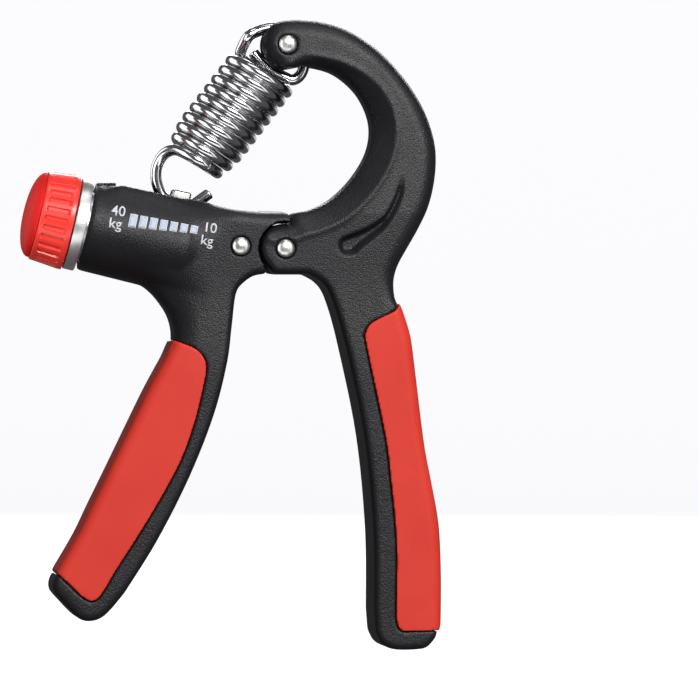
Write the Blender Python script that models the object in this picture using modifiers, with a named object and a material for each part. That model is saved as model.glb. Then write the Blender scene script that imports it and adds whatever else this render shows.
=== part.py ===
"""Adjustable hand grip strengthener: two handles riveted at a hinge, a tension spring from the arch
of the palm handle to a slider in the barrel of the finger handle, and a knob and screw that move the
slider. Metres, +Z up, +Y to the back. The origin is where the palm bears on the palm handle."""

from math import atan2, cos, pi, radians, sin

import bmesh
import bpy
from mathutils import Matrix, Vector

MM = 0.001

# Driving dimensions, in millimetres. Outlines are (x, z) from the hinge axis.
HINGE_FROM_PALM = (-33.0, 50.0)
GAP = 0.3
HANDLE_HALF_DEPTH = 10.5
HINGE_HALF_DEPTH = 9.6
ARCH_TIP_HALF_DEPTH = 6.3
GRIP_PROUD = 0.4
CORE_HALF_DEPTH = 8.0
CORE_INSET = 2.9
EDGE_ROUND = 1.6

LUG_RADIUS = 5.75
POCKET_RADIUS = 6.45
LINK_RIVET = (-10.4, 0.5)
LINK_HALF_DEPTH = 1.25
RIVET_RADIUS = 1.5
RIVET_HEAD_RADIUS = 2.25

SPRING_PIN = (0.8, 47.35)
ARCH_END_RADIUS = 5.8
FORK_HALF_GAP = 1.75

BARREL_TILT = radians(13)
BARREL_FACE = (-47.5, 5.6)
BARREL_RADIUS = 10.3
BORE_RADIUS = 8.25
BORE_END = 31.5
SLOT_HALF_WIDTH = 3.3
HOOK_PIVOT = (-26.3, 11.7)

WIRE_RADIUS = 1.18
COIL_DIAMETER = 14.8
COIL_PITCH = 2.75
COIL_TURNS = 10
COIL_TOP = (-5.34, 40.1)
COIL_LEAN = radians(34.6)
COIL_STACK = radians(37.6)

KNOB_RADIUS = 11.1
KNOB_NOSE_RADIUS = 10.3
KNOB_FLUTES = 30


def clear_scene():
    for thing in list(bpy.data.objects):
        bpy.data.objects.remove(thing, do_unlink=True)


def new_collection(name):
    made = bpy.data.collections.new(name)
    bpy.context.scene.collection.children.link(made)
    return made


def new_material(name, colour, roughness, metallic=0.0):
    made = bpy.data.materials.new(name)
    made.use_nodes = True
    shader = made.node_tree.nodes["Principled BSDF"]
    shader.inputs["Base Color"].default_value = (*colour, 1.0)
    shader.inputs["Roughness"].default_value = roughness
    shader.inputs["Metallic"].default_value = metallic
    return made


def from_hinge(x, z, y=0.0):
    """A point given from the hinge axis, in the part's frame."""
    return Vector((x + HINGE_FROM_PALM[0], y, z + HINGE_FROM_PALM[1])) * MM


def along_barrel(distance, height=0.0):
    """A point in the barrel's plane: distance along its axis from the end plate, height above the axis."""
    x = BARREL_FACE[0] + distance * cos(BARREL_TILT) + height * sin(BARREL_TILT)
    z = BARREL_FACE[1] - distance * sin(BARREL_TILT) + height * cos(BARREL_TILT)
    return x, z


def arc(centre, radius, start, end, steps):
    """Points on an arc, from start to end in degrees, anticlockwise from +X."""
    angles = [radians(start + (end - start) * i / steps) for i in range(steps + 1)]
    return [(centre[0] + radius * cos(a), centre[1] + radius * sin(a)) for a in angles]


def smooth(points, steps=3, closed=False):
    """Catmull-Rom points through the given ones, of any dimension."""
    n = len(points)
    pts = [Vector(p) for p in points]

    def at(i):
        return pts[i % n] if closed else pts[min(max(i, 0), n - 1)]

    found = []
    for i in range(n if closed else n - 1):
        a, b, c, d = at(i - 1), at(i), at(i + 1), at(i + 2)
        for k in range(steps):
            t = k / steps
            found.append(0.5 * (2 * b + (c - a) * t + (2 * a - 5 * b + 4 * c - d) * t**2
                                + (3 * b - a - 3 * c + d) * t**3))
    if not closed:
        found.append(pts[-1])
    return [tuple(p) for p in found]


def offset(points, distance):
    """An open outline moved to its left by distance."""
    found = []
    for i, point in enumerate(points):
        before = Vector(points[max(i - 1, 0)])
        after = Vector(points[min(i + 1, len(points) - 1)])
        along = (after - before).normalized()
        found.append((point[0] - along.y * distance, point[1] + along.x * distance))
    return found


def link(obj, group, material=None):
    for old in list(obj.users_collection):
        old.objects.unlink(obj)
    group.objects.link(obj)
    if material:
        obj.data.materials.clear()
        obj.data.materials.append(material)
    if group is cutters:
        obj.hide_render = True
        obj.display_type = "WIRE"
    return obj


def shade(obj):
    obj.data.shade_smooth()
    obj.data.set_sharp_from_angle(angle=radians(35))


def mesh_object(name, mesh, group, material=None):
    obj = bpy.data.objects.new(name, mesh)
    bpy.context.scene.collection.objects.link(obj)
    return link(obj, group, material)


def as_mesh(curve_object, name, group, material=None):
    """A curve object made a welded mesh object in its place."""
    bpy.context.view_layer.update()
    graph = bpy.context.evaluated_depsgraph_get()
    mesh = bpy.data.meshes.new_from_object(curve_object.evaluated_get(graph))
    work = bmesh.new()
    work.from_mesh(mesh)
    bmesh.ops.remove_doubles(work, verts=work.verts, dist=1e-6)
    bmesh.ops.recalc_face_normals(work, faces=work.faces)
    work.to_mesh(mesh)
    work.free()
    made = mesh_object(name, mesh, group, material)
    made.matrix_world = curve_object.matrix_world
    bpy.data.objects.remove(curve_object, do_unlink=True)
    return made


def prism(name, outlines, half_depth, group, material=None, edge=0.0, grow=0.0, origin=(0.0, 0.0)):
    """Flat outlines in the XZ plane, from the hinge axis, thickened along Y with rounded edges.
    A second outline is a hole. The object's origin is at origin, from the hinge axis."""
    data = bpy.data.curves.new(name, "CURVE")
    data.dimensions = "2D"
    data.fill_mode = "BOTH"
    data.extrude = (half_depth - edge) * MM
    data.bevel_depth = edge * MM
    data.bevel_resolution = 1 if edge else 0
    data.offset = (grow - edge) * MM
    for points in outlines:
        line = data.splines.new("POLY")
        line.points.add(len(points) - 1)
        for spot, (x, z) in zip(line.points, points):
            spot.co = ((x - origin[0]) * MM, (z - origin[1]) * MM, 0.0, 1.0)
        line.use_cyclic_u = True
    shape = bpy.data.objects.new(name + "_outline", data)
    bpy.context.scene.collection.objects.link(shape)
    shape.matrix_world = Matrix.Translation(from_hinge(*origin)) @ Matrix.Rotation(pi / 2, 4, "X")
    made = as_mesh(shape, name, group, material)
    bake_rotation(made)
    return made


def bake_rotation(obj):
    """The object's rotation moved into its mesh, so that its own axes are the part's."""
    spot = obj.matrix_world.translation.copy()
    turn = obj.matrix_world.to_3x3().to_4x4()
    obj.data.transform(turn)
    obj.matrix_world = Matrix.Translation(spot)


def turned(name, profile, group, material=None, steps=24, start=(0.0, 0.0), axis=(0.0, 1.0, 0.0)):
    """A profile of (radius, distance) turned about an axis through start, a point from the hinge
    axis. It runs down the outer side, from the largest distance to the smallest."""
    mesh = bpy.data.meshes.new(name)
    work = bmesh.new()
    spots = [work.verts.new((r * MM, 0.0, d * MM)) for r, d in profile]
    for a, b in zip(spots, spots[1:]):
        work.edges.new((a, b))
    if min(profile[0][0], profile[-1][0]) > 0:
        work.edges.new((spots[-1], spots[0]))
    work.to_mesh(mesh)
    work.free()
    obj = mesh_object(name, mesh, group, material)
    screw = obj.modifiers.new("Turn", "SCREW")
    screw.steps = steps
    screw.render_steps = steps
    screw.use_merge_vertices = True
    screw.merge_threshold = 1e-6
    screw.use_smooth_shade = False
    turn = Vector((0, 0, 1)).rotation_difference(Vector(axis)).to_matrix().to_4x4()
    obj.matrix_world = Matrix.Translation(from_hinge(*start)) @ turn
    return obj


def on_barrel(name, profile, group, material=None, steps=24):
    """A piece turned about the barrel's axis."""
    axis = (cos(BARREL_TILT), 0.0, -sin(BARREL_TILT))
    return turned(name, profile, group, material, steps, BARREL_FACE, axis)


def ring(outer, inner, low, high):
    return [(outer, high), (outer, low), (inner, low), (inner, high)]


def rod(radius, low, high):
    return [(0.0, high), (radius, high), (radius, low), (0.0, low)]


def box(name, low, high, group, material=None, at=None, edge=0.0):
    """A box between two corners. With at, its X and Z run along and above the barrel's axis."""
    made = bmesh.new()
    bmesh.ops.create_cube(made, size=1.0)
    for spot in made.verts:
        spot.co = Vector([(lo + hi) / 2 + c * (hi - lo) for lo, hi, c in zip(low, high, spot.co)]) * MM
    if edge:
        bmesh.ops.bevel(made, geom=made.edges[:], offset=edge * MM, segments=2, affect="EDGES")
    mesh = bpy.data.meshes.new(name)
    made.to_mesh(mesh)
    made.free()
    obj = mesh_object(name, mesh, group, material)
    obj.matrix_world = Matrix.Translation(from_hinge(*(at or (0.0, 0.0))))
    if at:
        obj.matrix_world = obj.matrix_world @ Matrix.Rotation(BARREL_TILT, 4, "Y")
    return obj


def combine(obj, other, operation="DIFFERENCE"):
    """A Boolean kept on the object. The other object is a cutter."""
    cut = obj.modifiers.new(operation.title() + "_" + other.name, "BOOLEAN")
    cut.operation = operation
    cut.object = other
    cut.solver = "EXACT"
    return obj


def apply_modifiers(obj):
    bpy.context.view_layer.update()
    graph = bpy.context.evaluated_depsgraph_get()
    mesh = bpy.data.meshes.new_from_object(obj.evaluated_get(graph))
    obj.modifiers.clear()
    obj.data = mesh


def ramp(value, low, high):
    """0 below low, 1 above high, and a smooth step between them."""
    t = min(max((value - low) / (high - low), 0.0), 1.0)
    return t * t * (3 - 2 * t)


def palm_half_depth(x, z):
    """The palm handle thins from its grip to its hinge, and again along the arch."""
    body = HINGE_HALF_DEPTH + (HANDLE_HALF_DEPTH - HINGE_HALF_DEPTH) * ramp(-z, 8, 15)
    along = min(max((z - 8) / 44, 0.0), 1.0)
    return body + (ARCH_TIP_HALF_DEPTH - HINGE_HALF_DEPTH) * along


def finger_half_depth(x, z):
    """The finger handle thins from its grip to its hinge, and stays inside the round of its barrel."""
    body = HINGE_HALF_DEPTH + (HANDLE_HALF_DEPTH - HINGE_HALF_DEPTH) * ramp(-z, 8, 15)
    across = x - BARREL_FACE[0]
    above = z - BARREL_FACE[1]
    distance = across * cos(BARREL_TILT) - above * sin(BARREL_TILT)
    height = across * sin(BARREL_TILT) + above * cos(BARREL_TILT)
    round_half_depth = max(BARREL_RADIUS**2 - height**2, 4.0) ** 0.5
    in_barrel = (1 - ramp(distance, 20, 32)) * ramp(height, -15, -10.4)
    return body + (min(round_half_depth, body) - body) * in_barrel


def thin(obj, half_depth):
    """Scales a handle's depth by a rule of place."""
    for spot in obj.data.vertices:
        x = spot.co.x / MM
        z = spot.co.z / MM
        spot.co.y *= half_depth(x, z) / HANDLE_HALF_DEPTH


# Outlines of the two handles. Each runs anticlockwise.

PALM_SIDE = [(27.0, -14.6), (28.5, -19.4), (29.3, -24.0), (31.8, -44.3), (33.5, -53.6), (34.9, -61.0),
             (35.6, -67.0), (35.9, -76.7), (35.8, -87.1)]
PALM_TOE = [(34.9, -90.2), (33.0, -92.3), (30.6, -92.9), (25.4, -92.9), (22.4, -91.6), (20.9, -88.9)]
PALM_INNER = [(20.5, -84.0), (20.3, -65.0), (18.2, -43.5), (13.9, -22.6), (10.9, -12.0), (8.6, -8.0),
              (5.2, -5.9)]
ARCH_INNER = [(3.1, 8.5), (6.2, 9.1), (10.9, 11.3), (15.8, 15.9), (19.4, 21.6), (20.6, 26.9),
              (19.7, 31.8), (16.8, 36.7), (12.3, 40.4), (8.0, 41.9), (4.2, 42.4)]
ARCH_OUTER = [(3.6, 53.3), (8.3, 52.9), (13.2, 51.7), (18.1, 49.3), (23.0, 45.6), (27.9, 40.2),
              (31.8, 34.3), (34.3, 28.4), (35.5, 22.6), (35.2, 16.2), (33.7, 9.9), (31.2, 4.5),
              (28.4, -0.4), (26.5, -3.9), (25.5, -7.3), (25.5, -10.9), (26.1, -12.8)]
PALM_GRIP_EDGE = [(26.4, -12.6), (25.4, -14.4), (22.5, -15.8), (19.6, -17.5), (18.4, -19.7),
                  (18.6, -22.4), (23.0, -43.5), (24.3, -53.6), (25.2, -62.2), (25.7, -70.9),
                  (25.6, -82.5), (25.7, -86.4), (26.9, -88.5), (30.0, -88.5)]

FINGER_TOP = [(-43.6, 15.3), (-35.2, 14.6), (-27.6, 13.5), (-17.8, 11.5), (-10.5, 9.8), (-4.6, 8.6)]
BARREL_UNDER = [(-48.1, -4.7), (-39.9, -6.2), (-34.9, -7.5), (-30.8, -10.2), (-27.3, -14.5),
                (-25.9, -18.0), (-25.6, -21.2)]
FINGER_SIDE = [(-27.4, -25.2), (-31.6, -32.9), (-35.9, -41.7), (-40.4, -51.0), (-44.8, -60.0),
               (-47.8, -66.2), (-52.1, -73.6)]
FINGER_TOE = [(-53.8, -76.6), (-53.9, -79.0), (-51.6, -81.8), (-48.2, -85.2), (-45.6, -86.1),
              (-42.6, -85.3), (-40.0, -82.9)]
FINGER_INNER = [(-37.3, -79.6), (-29.7, -67.5), (-22.2, -52.7), (-16.6, -38.5), (-13.5, -26.4),
                (-12.4, -18.0), (-11.4, -10.4), (-9.6, -7.9), (-7.4, -6.4), (-4.9, -5.9)]
FINGER_GRIP_EDGE = [(-26.0, -21.2), (-23.9, -22.0), (-21.2, -23.1), (-19.2, -25.1), (-18.5, -27.7),
                    (-19.3, -32.4), (-21.2, -40.1), (-23.9, -47.8), (-27.2, -54.4), (-31.0, -61.0),
                    (-35.4, -68.1), (-39.3, -74.1), (-42.6, -79.6), (-44.8, -81.4), (-47.2, -80.3),
                    (-50.3, -77.4)]


def palm_outline():
    lug = arc((0, 0), LUG_RADIUS, 76, 222, 14)
    lug += [(-2.9, -5.7), (-1.0, -5.9)]
    inner = smooth(PALM_INNER[::-1], 2)
    toe = smooth(PALM_TOE[::-1], 2)
    side = smooth(PALM_SIDE[::-1], 2)
    outer = smooth(ARCH_OUTER[::-1], 2)
    tip = arc(SPRING_PIN, ARCH_END_RADIUS, 92, 262, 10)
    under = smooth(ARCH_INNER[::-1], 2)
    shoulder = [(2.2, 8.2), (1.38, 7.3)]
    return lug + inner + toe + side + outer + tip + under + shoulder


def finger_outline():
    top = smooth(FINGER_TOP[::-1], 2)
    under = smooth(BARREL_UNDER, 2)
    side = smooth(FINGER_SIDE, 2)
    toe = smooth(FINGER_TOE, 2)
    inner = smooth(FINGER_INNER, 2)
    hinge_end = [(12.0, -5.9), (12.0, 8.4)]
    return top + under + side + toe + inner + hinge_end


def grip_zone(edge, beyond):
    """The region that a grip covers: its edge on the handle's faces, closed far outside the handle."""
    return smooth(edge, 2) + beyond


def core_outline(side, inset, beyond):
    """The part of the handle left under a grip, inset from the gripped side."""
    return offset(smooth(side, 2), inset) + beyond


def rivet_profile(half_depth):
    """A domed head at the front, a shank, and the end set over a washer at the back."""
    front = -half_depth
    back = half_depth
    r = RIVET_HEAD_RADIUS
    return [(0, back + 0.55), (1.0, back + 0.45), (1.9, back + 0.05), (1.9, back - 0.15),
            (RIVET_RADIUS, back - 0.15), (RIVET_RADIUS, front + 0.55), (r, front + 0.55),
            (r, front + 0.1), (r * 0.82, front - 0.45), (r * 0.5, front - 0.75), (0, front - 0.9)]


def rivet(name, at, half_depth):
    rivet_steel = new_material(name, (0.62, 0.62, 0.62), 0.32, 1.0)
    made = turned(name, rivet_profile(half_depth), parts, rivet_steel, 16, at)
    shade(made)
    washer_steel = new_material(name + "_washer", (0.55, 0.55, 0.56), 0.4, 1.0)
    profile = ring(2.9, RIVET_RADIUS + 0.2, half_depth - 0.85, half_depth - 0.3)
    washer = turned(name + "_washer", profile, parts, washer_steel, 16, at)
    shade(washer)


def rivet_cutters(handle, name, at, half_depth):
    """The hole for a rivet, with a recess for its head and one for its washer."""
    seat = RIVET_HEAD_RADIUS + 0.35
    profile = [(0, half_depth + 3), (3.25, half_depth + 3), (3.25, half_depth - 1.15),
               (RIVET_RADIUS + 0.3, half_depth - 1.15), (RIVET_RADIUS + 0.3, 0.8 - half_depth),
               (seat, 0.8 - half_depth), (seat, -half_depth - 3), (0, -half_depth - 3)]
    combine(handle, turned(name, profile, cutters, None, 16, at))


def make_palm_handle():
    outline = palm_outline()
    black = new_material("palm_handle_frame", (0.012, 0.012, 0.013), 0.5)
    frame = prism("palm_handle_frame", [outline], HANDLE_HALF_DEPTH, parts, black, EDGE_ROUND)
    thin(frame, palm_half_depth)

    beyond = [(50, -88.5), (50, -12.6)]
    zone = grip_zone(PALM_GRIP_EDGE, beyond)
    side = [(26.1, -12.8)] + PALM_SIDE + [(35.6, -89.5)]
    inward = [(-10, -100), (-10, -5)]
    core = prism("palm_core", [core_outline(side, -CORE_INSET, inward)], CORE_HALF_DEPTH, cutters)
    recess = prism("palm_grip_recess", [zone], 20, cutters, grow=GAP)
    combine(recess, core)
    combine(frame, recess)

    red = new_material("palm_grip", (0.72, 0.045, 0.03), 0.48)
    grip = prism("palm_grip", [outline], HANDLE_HALF_DEPTH + GRIP_PROUD, parts, red, 2.2, GRIP_PROUD)
    cover = prism("palm_grip_zone", [zone], 20, cutters)
    seat = prism("palm_grip_seat", [core_outline(side, GAP - CORE_INSET, inward)],
                 CORE_HALF_DEPTH + GAP, cutters)
    combine(grip, cover, "INTERSECT")
    combine(grip, seat)

    fork = box("fork_slot", (-14, -FORK_HALF_GAP, 34), (8.6, FORK_HALF_GAP, 60), cutters)
    combine(frame, fork)
    swing = [(0.0, 4.9), (-9, 4.9), (-9, -9), (0.6, -9), (0.6, -4.9)] + arc((0, 0), 4.9, -80, 88, 12)
    combine(frame, prism("link_swing_slot", [swing], LINK_HALF_DEPTH + GAP, cutters))
    rivet_cutters(frame, "hinge_rivet_hole", (0, 0), HINGE_HALF_DEPTH)
    rivet_cutters(frame, "spring_rivet_hole", SPRING_PIN, spring_half_depth())
    for piece in (frame, grip):
        apply_modifiers(piece)
        shade(piece)


def spring_half_depth():
    return palm_half_depth(*SPRING_PIN)


def make_finger_handle():
    outline = finger_outline()
    black = new_material("finger_handle_frame", (0.012, 0.012, 0.013), 0.5)
    frame = prism("finger_handle_frame", [outline], HANDLE_HALF_DEPTH, parts, black, EDGE_ROUND)
    thin(frame, finger_half_depth)
    pocket = arc((0, 0), POCKET_RADIUS, 80.6, 195, 14)
    pocket += [(-5.65, -3.4), (-4.75, -5.0), (-4.4, -9.0), (15, -9.0), (15, 14), (-0.7, 14)]
    pocket += [(-0.7, 9.35), (1.05, 7.6)]
    combine(frame, prism("hinge_pocket", [pocket], 20, cutters))
    slot = arc(LINK_RIVET, 3.9, 90, 270, 10) + [(4, -3.9), (4, 4.4)]
    combine(frame, prism("link_slot", [slot], LINK_HALF_DEPTH + GAP, cutters))
    rivet_cutters(frame, "link_rivet_hole", LINK_RIVET, HINGE_HALF_DEPTH)
    barrel = [(0.0, 33.0), (5.0, 32.6), (9.0, 30.0), (BARREL_RADIUS + 0.5, 25.0),
              (BARREL_RADIUS, -1.0), (0.0, -1.0)]
    combine(frame, on_barrel("barrel_round", barrel, cutters, None, 40), "UNION")
    end = along_barrel(1.6)
    combine(frame, box("barrel_end_trim", (-12, -20, -30), (0, 20, 30), cutters, None, end))
    combine(frame, on_barrel("barrel_bore", rod(BORE_RADIUS, -2, BORE_END), cutters, None, 24))
    low = (6.5, -SLOT_HALF_WIDTH, 7.2)
    high = (40.0, SLOT_HALF_WIDTH, 16.0)
    combine(frame, box("slider_slot", low, high, cutters, None, BARREL_FACE))

    beyond = [(-60, -69.5), (-60, -22.0), (-45, -21.2)]
    zone = grip_zone(FINGER_GRIP_EDGE + [(-53.2, -74.8)], beyond)
    side = [(-25.6, -21.2)] + FINGER_SIDE + [(-54.2, -77.0)]
    inward = [(-40, -95), (10, -95), (10, -10), (-20, -10)]
    core = prism("finger_core", [core_outline(side, CORE_INSET, inward)], CORE_HALF_DEPTH, cutters)
    recess = prism("finger_grip_recess", [zone], 20, cutters, grow=GAP)
    combine(recess, core)
    combine(frame, recess)

    red = new_material("finger_grip", (0.72, 0.045, 0.03), 0.48)
    grip = prism("finger_grip", [outline], HANDLE_HALF_DEPTH + GRIP_PROUD, parts, red, 2.2, GRIP_PROUD)
    cover = prism("finger_grip_zone", [zone], 20, cutters)
    seat = prism("finger_grip_seat", [core_outline(side, CORE_INSET - GAP, inward)],
                 CORE_HALF_DEPTH + GAP, cutters)
    combine(grip, cover, "INTERSECT")
    combine(grip, seat)

    for piece in (frame, grip):
        apply_modifiers(piece)
        shade(piece)


def make_hinge():
    rivet("hinge_rivet", (0, 0), HINGE_HALF_DEPTH)
    rivet("link_rivet", LINK_RIVET, HINGE_HALF_DEPTH)
    rivet("spring_rivet", SPRING_PIN, spring_half_depth())
    steel = new_material("hinge_link", (0.45, 0.46, 0.48), 0.35, 1.0)
    lean = atan2(-LINK_RIVET[1], -LINK_RIVET[0]) * 180 / pi
    outline = arc((0, 0), 4.2, lean - 90, lean + 90, 10) + arc(LINK_RIVET, 3.5, lean + 90, lean + 270, 10)
    holes = [arc(at, RIVET_RADIUS + 0.25, 0, 345, 23) for at in ((0, 0), LINK_RIVET)]
    plate = prism("hinge_link", [outline] + holes, LINK_HALF_DEPTH, parts, steel)
    shade(plate)


def knob_outline(radius, depth):
    """A fluted ring: each flute is a shallow groove between two flats."""
    found = []
    for i in range(KNOB_FLUTES):
        for share, r in ((0.0, radius), (0.45, radius), (0.6, radius - depth), (0.85, radius - depth)):
            a = 2 * pi * (i + share) / KNOB_FLUTES
            found.append((r * cos(a), r * sin(a)))
    return found


def make_knob():
    red = new_material("adjuster_knob", (0.78, 0.03, 0.02), 0.3)
    data = bpy.data.curves.new("adjuster_knob", "CURVE")
    data.dimensions = "2D"
    data.fill_mode = "BOTH"
    data.extrude = 4.2 * MM
    line = data.splines.new("POLY")
    points = knob_outline(KNOB_RADIUS, 0.55)
    line.points.add(len(points) - 1)
    for spot, (x, y) in zip(line.points, points):
        spot.co = (x * MM, y * MM, 0.0, 1.0)
    line.use_cyclic_u = True
    shape = bpy.data.objects.new("knob_outline", data)
    bpy.context.scene.collection.objects.link(shape)
    knob = as_mesh(shape, "adjuster_knob", parts, red)
    for spot in knob.data.vertices:
        share = (4.2 * MM - spot.co.z) / (8.4 * MM)
        scale = 1 + (KNOB_NOSE_RADIUS / KNOB_RADIUS - 1) * share
        spot.co.x *= scale
        spot.co.y *= scale
        spot.co.z -= 5.8 * MM
    axis = Vector((cos(BARREL_TILT), 0.0, -sin(BARREL_TILT)))
    turn = Vector((0, 0, 1)).rotation_difference(axis).to_matrix().to_4x4()
    knob.matrix_world = Matrix.Translation(from_hinge(*BARREL_FACE)) @ turn
    combine(knob, on_barrel("knob_nose", rod(9.3, -12, -6.4), cutters, None, 24))
    combine(knob, on_barrel("knob_skirt", rod(9.2, -3.0, 0), cutters, None, 24))
    combine(knob, on_barrel("knob_bore", rod(2.8, -8, 0), cutters, None, 16))
    apply_modifiers(knob)
    shade(knob)

    dark_red = new_material("knob_cap", (0.5, 0.012, 0.012), 0.18)
    dome = [(9.05, -8.8), (9.05, -10.1), (7.6, -11.35), (4.6, -12.4), (0, -12.85)]
    cap = on_barrel("knob_cap", [(0, -8.8)] + dome, parts, dark_red, 24)
    shade(cap)

    steel = new_material("knob_screw", (0.5, 0.5, 0.52), 0.35, 1.0)
    screw = [(0, -2.5), (1.1, -2.5), (1.1, -6.7), (3.1, -6.7), (3.1, -7.9), (2.5, -8.3), (0, -8.3)]
    on_barrel("knob_screw", screw, parts, steel, 12)


def make_adjuster():
    steel = new_material("lead_screw", (0.55, 0.56, 0.58), 0.3, 1.0)
    profile = [(0, 31.0), (1.9, 31.0), (2.5, 30.4), (2.5, 5.1), (1.9, 5.1), (1.9, 4.1), (2.5, 4.1),
               (2.5, -5.8), (1.4, -5.8), (1.4, -2.2), (0, -2.2)]
    on_barrel("lead_screw", profile, parts, steel, 16)
    clip = new_material("retaining_clip", (0.35, 0.35, 0.37), 0.4, 1.0)
    on_barrel("retaining_clip", ring(4.3, 2.15, 4.25, 4.95), parts, clip, 16)
    washer = new_material("thrust_washer", (0.7, 0.55, 0.25), 0.35, 1.0)
    on_barrel("thrust_washer", ring(6.5, 2.8, -2.6, -1.6), parts, washer, 20)
    plate = new_material("end_plate", (0.72, 0.72, 0.73), 0.25, 1.0)
    profile = [(10.75, 1.35), (10.75, -1.35), (2.8, -1.35), (2.8, 3.6), (7.95, 3.6), (7.95, 1.35)]
    shade(on_barrel("end_plate", profile, parts, plate, 40))
    bush = new_material("screw_bush", (0.65, 0.5, 0.22), 0.4, 1.0)
    on_barrel("screw_bush", ring(7.95, 2.8, 29.3, 31.2), parts, bush, 20)


def make_slider():
    zinc = new_material("slider_nut", (0.5, 0.5, 0.5), 0.45, 1.0)
    nut = on_barrel("slider_nut", ring(7.9, 2.75, 18.4, 24.8), parts, zinc, 24)
    flat = box("nut_flat", (10, -12, 6.3), (35, 12, 12), cutters, None, BARREL_FACE)
    combine(nut, flat)
    apply_modifiers(nut)
    steel = new_material("hook_bridge", (0.6, 0.61, 0.63), 0.3, 1.0)
    bridge = box("hook_bridge", (18.4, -3.0, 6.6), (24.0, 3.0, 13.0), parts, steel, BARREL_FACE, 0.5)
    opening = box("bridge_eye", (15, -1.9, 7.5), (28, 1.9, 12.2), cutters, None, BARREL_FACE)
    combine(bridge, opening)
    apply_modifiers(bridge)


def coil_point(phase):
    """A point on the coil's centre line. Phase is in turns, upwards, from the front of the top turn."""
    up = Vector((sin(COIL_STACK), 0.0, cos(COIL_STACK)))
    across = Vector((cos(COIL_LEAN), 0.0, -sin(COIL_LEAN)))
    taper = 0.36 * max(0.0, -phase - 6.0) ** 2
    radius = (COIL_DIAMETER - taper) / 2
    angle = 2 * pi * (phase + 0.75)
    middle = Vector((COIL_TOP[0], 0.0, COIL_TOP[1])) + up * COIL_PITCH * phase
    return middle + across * radius * cos(angle) + Vector((0, radius * sin(angle), 0))


EYE_ROUTE = [(-9.7, -2.2, 46.9), (-8.4, -0.4, 48.9), (-6.2, 0, 50.4), (-3.2, 0, 51.3), (-0.2, 0, 51.4),
             (2.6, 0, 50.4), (4.7, 0, 48.3), (5.5, 0, 45.4), (5.1, 0, 42.2), (4.1, 0, 40.2),
             (2.4, 0, 39.3), (0.2, 0, 40.1), (-2.4, 0, 41.4), (-4.4, 0, 42.9), (-6.0, 0, 44.7),
             (-6.9, 0, 45.8)]
HOOK_ROUTE = [(-19.6, -5.3, 20.6), (-22.1, -4.0, 22.2), (-24.6, -1.9, 23.4), (-27.1, -0.6, 22.3),
              (-28.9, 0, 19.6), (-29.4, 0, 16.9), (-28.9, 0, 14.2), (-27.9, 0, 12.5), (-26.6, 0, 11.8)]
TAIL_ROUTE = [(-26.0, 0, 11.6), (-23.6, 0, 11.0), (-21.2, 0, 10.6), (-19.4, 0, 11.3), (-16.8, 0, 13.0)]


def wire(name, points, material):
    """A length of the spring's wire, on a centre line from the hinge axis. Its origin is at the hook."""
    data = bpy.data.curves.new(name, "CURVE")
    data.dimensions = "3D"
    data.bevel_depth = WIRE_RADIUS * MM
    data.bevel_resolution = 2
    data.use_fill_caps = True
    line = data.splines.new("POLY")
    line.points.add(len(points) - 1)
    for spot, (x, y, z) in zip(line.points, points):
        spot.co = ((x - HOOK_PIVOT[0]) * MM, y * MM, (z - HOOK_PIVOT[1]) * MM, 1.0)
    shape = bpy.data.objects.new(name + "_line", data)
    bpy.context.scene.collection.objects.link(shape)
    shape.matrix_world = Matrix.Translation(from_hinge(*HOOK_PIVOT))
    made = as_mesh(shape, name, parts, material)
    shade(made)


def coil_stretch(low, high, per_turn=12):
    steps = round((high - low) * per_turn)
    return [tuple(coil_point(low + (high - low) * i / steps)) for i in range(steps + 1)]


def make_spring():
    bright = new_material("spring_wire", (0.66, 0.67, 0.69), 0.2, 1.0)
    wire("spring_tail", smooth(TAIL_ROUTE, 2), bright)
    bottom = 0.9 - COIL_TURNS
    wire("spring_hook", smooth(HOOK_ROUTE, 2), bright)
    middle = bottom / 2
    wire("spring_coil_lower", coil_stretch(bottom + 0.28, middle), bright)
    wire("spring_coil_upper", coil_stretch(middle + 0.012, 0.62), bright)
    wire("spring_eye", smooth(EYE_ROUTE, 2), bright)


clear_scene()
parts = new_collection("hand_grip_strengthener")
cutters = new_collection("cutters")
cutters.hide_render = True
make_palm_handle()
make_finger_handle()
make_hinge()
make_knob()
make_adjuster()
make_slider()
make_spring()
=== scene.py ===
"""The looks of the hand grip strengthener. Shapes are made in millimetres from the hinge axis, X to the
palm, Z up and Y to the back, and placed in the part's frame at the end."""

from math import cos, pi, radians, sin

import bmesh
import bpy
import numpy as np
from mathutils import Matrix, Vector
from mathutils.bvhtree import BVHTree


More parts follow.
